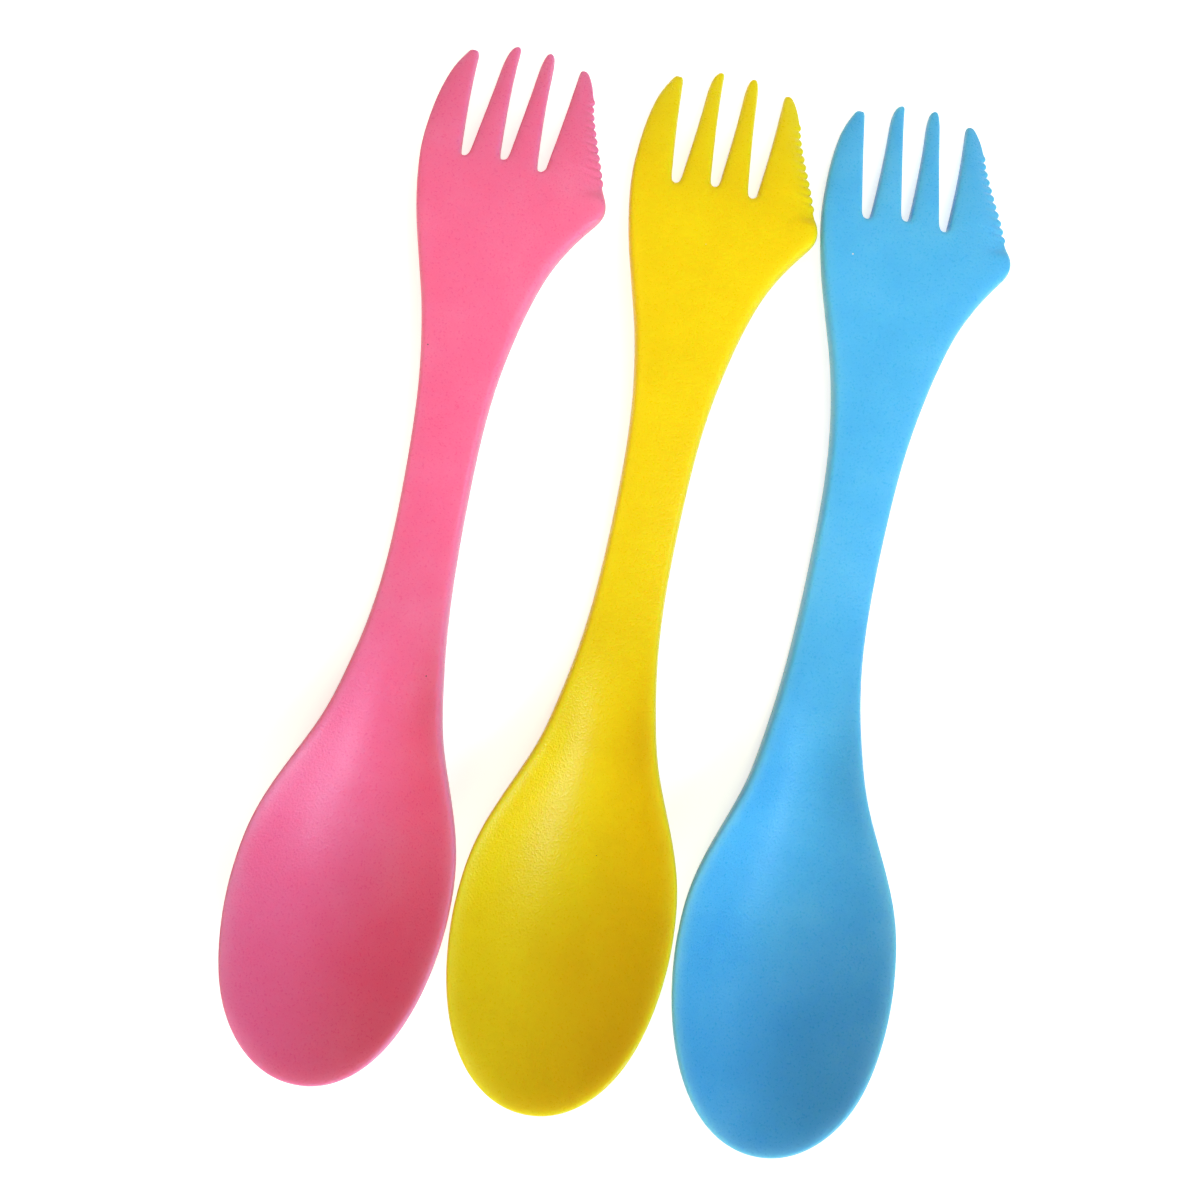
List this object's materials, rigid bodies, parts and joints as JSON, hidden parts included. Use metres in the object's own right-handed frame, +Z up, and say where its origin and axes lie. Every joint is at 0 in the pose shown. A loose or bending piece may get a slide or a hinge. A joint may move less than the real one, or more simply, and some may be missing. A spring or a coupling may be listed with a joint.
{
  "type": "spork set",
  "caption": "Set of loose double-ended plastic sporks: spoon bowl at one end, waisted handle, tined fork with a serrated cutting edge at the other.",
  "frame": {"origin": "middle of the set's footprint, on the table", "axes": "+Y along the yellow spork from bowl to fork, +X to the blue spork, +Z up from the table"},
  "size_m": [0.1056, 0.1736, 0.0162],
  "materials": {
    "yellow_plastic": "semi-matte moulded, fine grain",
    "pink_plastic": "semi-matte moulded, fine grain",
    "blue_plastic": "semi-matte moulded, fine grain"
  },
  "bodies": {
    "yellow_spork": {"yellow_spork": "yellow_plastic"},
    "pink_spork": {"pink_spork": "pink_plastic"},
    "blue_spork": {"blue_spork": "blue_plastic"}
  },
  "joints": [
    {"name": "pink_lift", "type": "slide", "parent": "yellow_spork", "child": "pink_spork", "axis": [0, 0, 1], "range_m": [0, 0.06]},
    {"name": "blue_lift", "type": "slide", "parent": "yellow_spork", "child": "blue_spork", "axis": [0, 0, 1], "range_m": [0, 0.06]}
  ]
}
